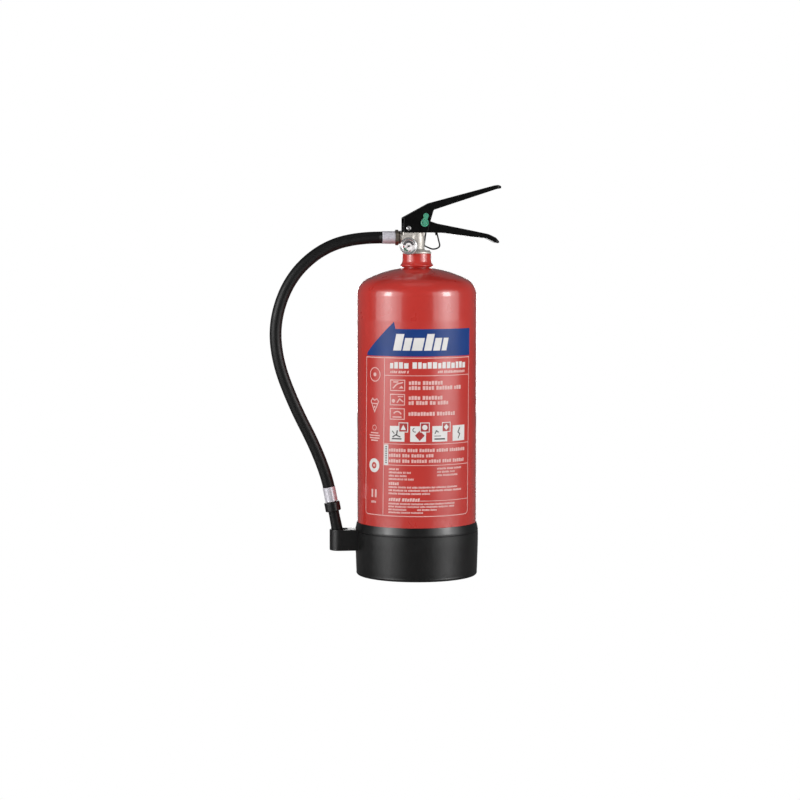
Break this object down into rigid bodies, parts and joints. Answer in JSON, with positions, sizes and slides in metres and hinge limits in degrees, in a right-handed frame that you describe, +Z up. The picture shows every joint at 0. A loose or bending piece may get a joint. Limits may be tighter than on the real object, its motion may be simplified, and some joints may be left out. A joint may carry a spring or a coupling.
{
  "type": "powder fire extinguisher",
  "caption": "Red steel cylinder with black plastic base, squeeze-lever valve with gauge and safety pin, and a short black hose whose nozzle sits in a socket on the base.",
  "frame": {"origin": "centre of the base on the floor, on the cylinder's axis", "axes": "+Z up along the cylinder, +X towards the free ends of the handles, -X towards the hose and nozzle, -Y towards the gauge and label"},
  "size_m": [0.311, 0.1656, 0.5234],
  "materials": {
    "red_paint": "gloss",
    "black_base": "satin",
    "label_film": "satin",
    "plated_brass": "satin",
    "bare_brass": "satin",
    "bright_steel": "satin",
    "chrome_trim": "polished",
    "aluminium_sleeve": "satin",
    "black_paint": "satin",
    "black_rubber": "satin",
    "seal_rubber": "matte",
    "white_powder": "matte",
    "tube_plastic": "matte",
    "green_plastic": "satin",
    "dial_print": "satin",
    "needle_paint": "satin",
    "clear_lens": "gloss"
  },
  "bodies": {
    "root": {"cylinder_shell": "red_paint", "neck_collar": "red_paint", "neck_o_ring": "seal_rubber", "base_skirt": "black_base", "nozzle_holder": "black_base", "label_sheet": "label_film", "powder_charge": "white_powder", "valve_body": "plated_brass", "stem_o_ring": "seal_rubber", "stem_spring": "bright_steel", "tube_socket": "bare_brass", "dip_tube": "tube_plastic", "gauge_case": "plated_brass", "gauge_washer": "seal_rubber", "gauge_bezel": "chrome_trim", "gauge_lens": "clear_lens", "gauge_dial": "dial_print", "bourdon_tube": "bare_brass", "carry_handle": "black_paint", "pivot_rivet": "bright_steel", "hose_washer": "seal_rubber", "hose_connector": "bare_brass", "ferrule_valve": "aluminium_sleeve", "hose": "black_rubber"},
    "lever": {"squeeze_lever": "black_paint"},
    "stem": {"valve_stem": "bright_steel", "stem_seal": "seal_rubber"},
    "pin": {"safety_pin": "bright_steel"},
    "ring": {"pull_ring": "black_paint"},
    "seal": {"tamper_seal": "green_plastic"},
    "needle": {"gauge_needle": "needle_paint"},
    "nozzle_end": {"ferrule_nozzle": "aluminium_sleeve", "nozzle_tail": "bare_brass", "nozzle_collar": "black_base", "nozzle": "black_rubber"}
  },
  "joints": [
    {"name": "lever_squeeze", "type": "hinge", "parent": "root", "child": "lever", "pos_m": [-0.01275, 0, 0.4657], "axis": [0, 1, 0], "range_deg": [0, 12], "stiffness_Nm_per_rad": 2, "springref_deg": -8.59},
    {"name": "stem_press", "type": "slide", "parent": "root", "child": "stem", "axis": [0, 0, -1], "range_m": [0, 0.0046], "deforming": ["stem_spring"]},
    {"name": "safety_pin_pull", "type": "slide", "parent": "root", "child": "pin", "axis": [0, 1, 0], "range_m": [0, 0.045]},
    {"name": "ring_swing", "type": "hinge", "parent": "pin", "child": "ring", "pos_m": [0.0087, 0.017, 0.4727], "axis": [1, 0, 0], "range_deg": [0, 150]},
    {"name": "seal_pull", "type": "slide", "parent": "root", "child": "seal", "axis": [0, -1, 0], "range_m": [0, 0.02]},
    {"name": "gauge_needle_turn", "type": "hinge", "parent": "root", "child": "needle", "pos_m": [-0.0145, 0, 0.4418], "axis": [0, 1, 0], "range_deg": [-60, 120], "stiffness_Nm_per_rad": 0.0002},
    {"name": "nozzle_unclip", "type": "slide", "parent": "root", "child": "nozzle_end", "axis": [-0.1908, 0, 0.9816], "range_m": [0, 0.045], "deforming": ["hose"]}
  ],
  "couplings": [
    {"joint": "stem_press", "follows": "lever_squeeze", "m_per_rad": 0.0189}
  ]
}
